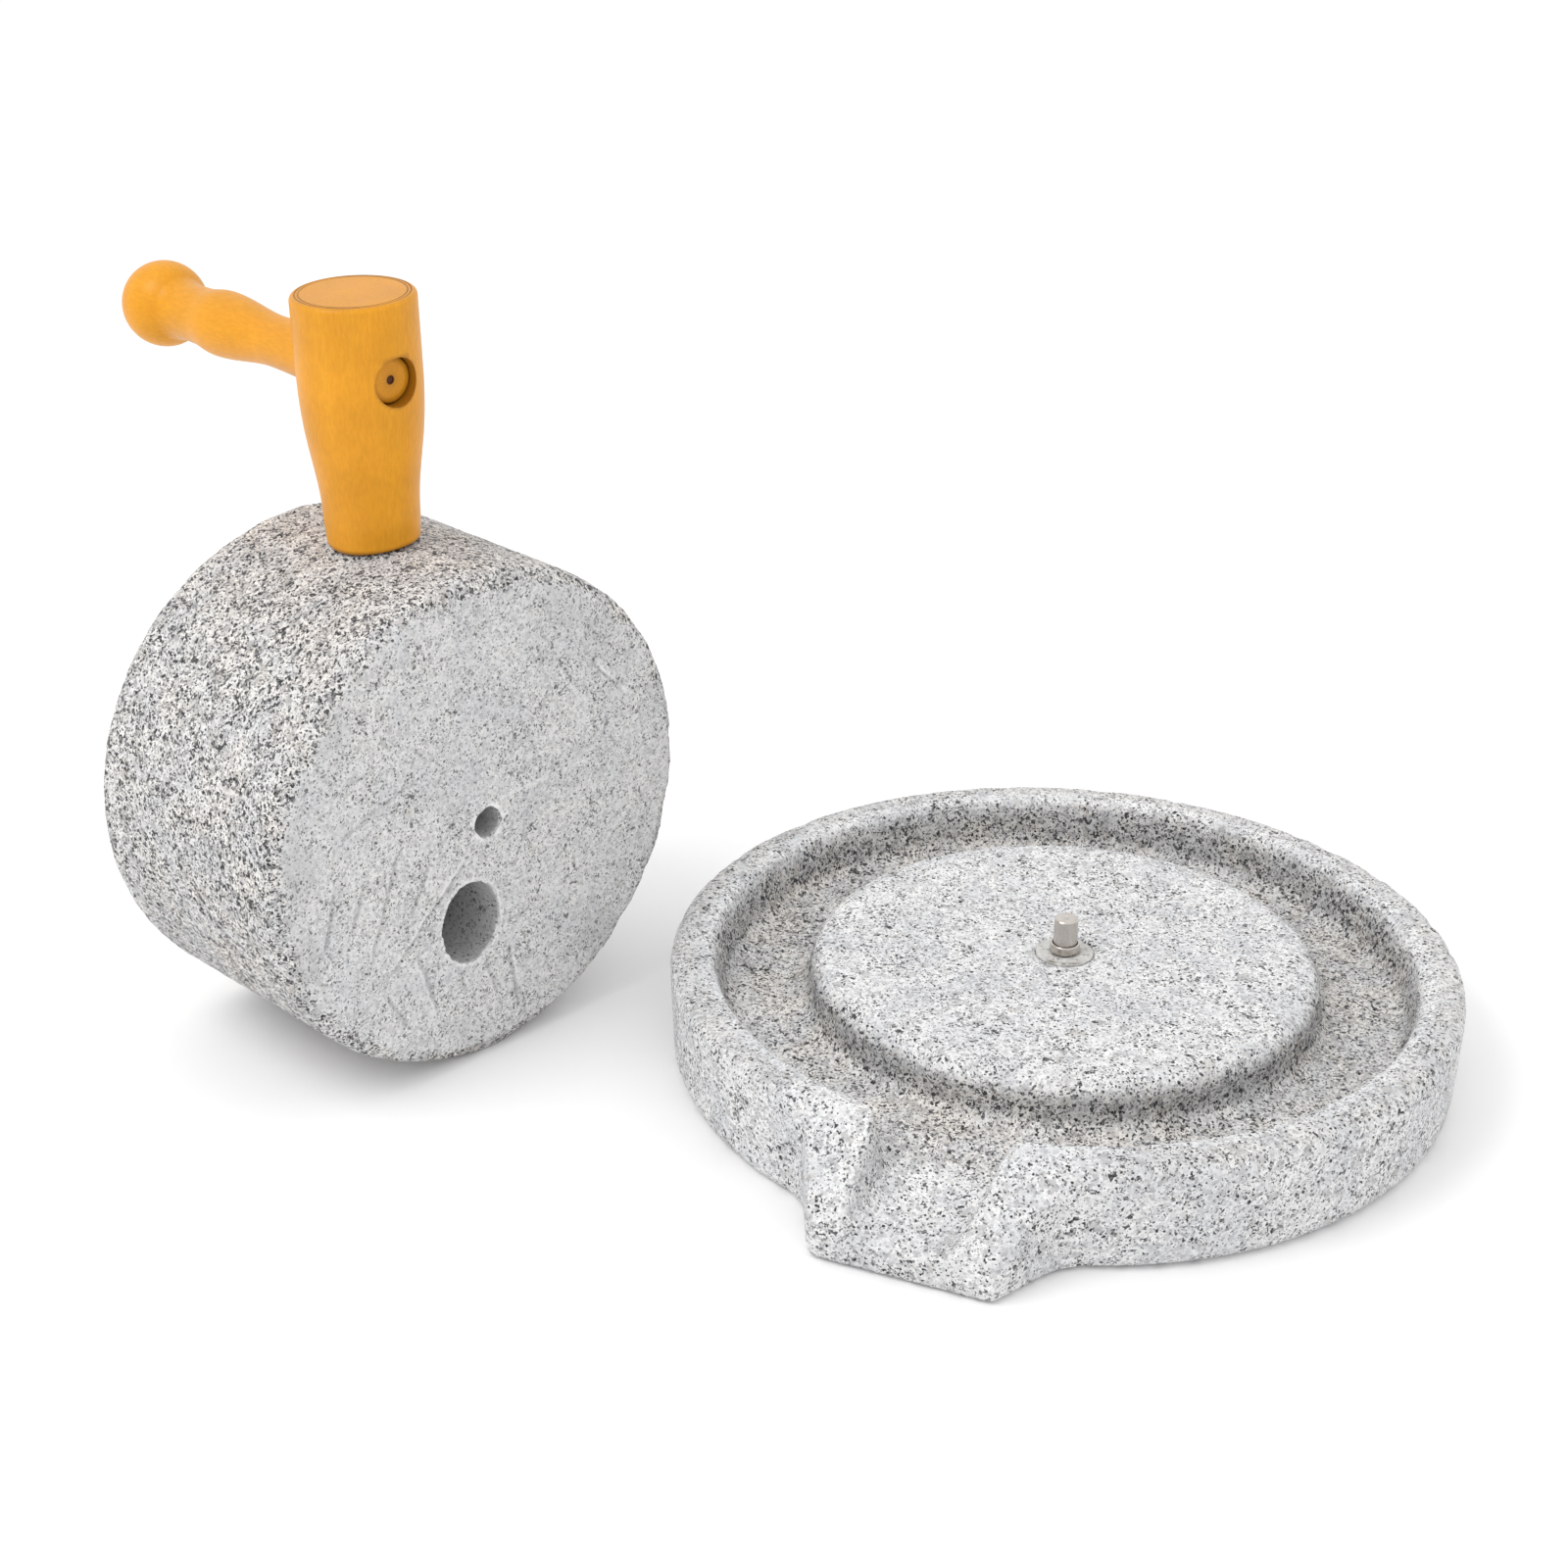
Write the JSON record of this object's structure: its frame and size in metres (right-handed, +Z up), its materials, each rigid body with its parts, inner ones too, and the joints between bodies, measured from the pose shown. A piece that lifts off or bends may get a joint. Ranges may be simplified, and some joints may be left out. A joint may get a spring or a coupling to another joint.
{
  "type": "rotary hand quern",
  "caption": "Small granite hand mill taken apart: a dished bedstone with spindle, trough and pouring spout, and a runner stone on its rim with a turned wooden handle.",
  "frame": {"origin": "centre of the bedstone's round underside, on the floor", "axes": "+Z up; +X along the runner stone's axis, the way its grinding face looks; +Y completes the right-handed frame"},
  "size_m": [0.455, 0.373, 0.266],
  "materials": {
    "bedstone": "dressed speckled granite",
    "grout_ring": "pale mortar",
    "spindle_collar": "satin",
    "spindle_pin": "satin",
    "runner_stone": "dressed speckled granite",
    "handle_arm": "lacquered",
    "handle_grip": "lacquered"
  },
  "bodies": {
    "root": {"bedstone": "bedstone", "grout_ring": "grout_ring", "spindle_collar": "spindle_collar", "spindle_pin": "spindle_pin", "runner_stone": "runner_stone", "handle_arm": "handle_arm", "handle_grip": "handle_grip"}
  },
  "joints": []
}
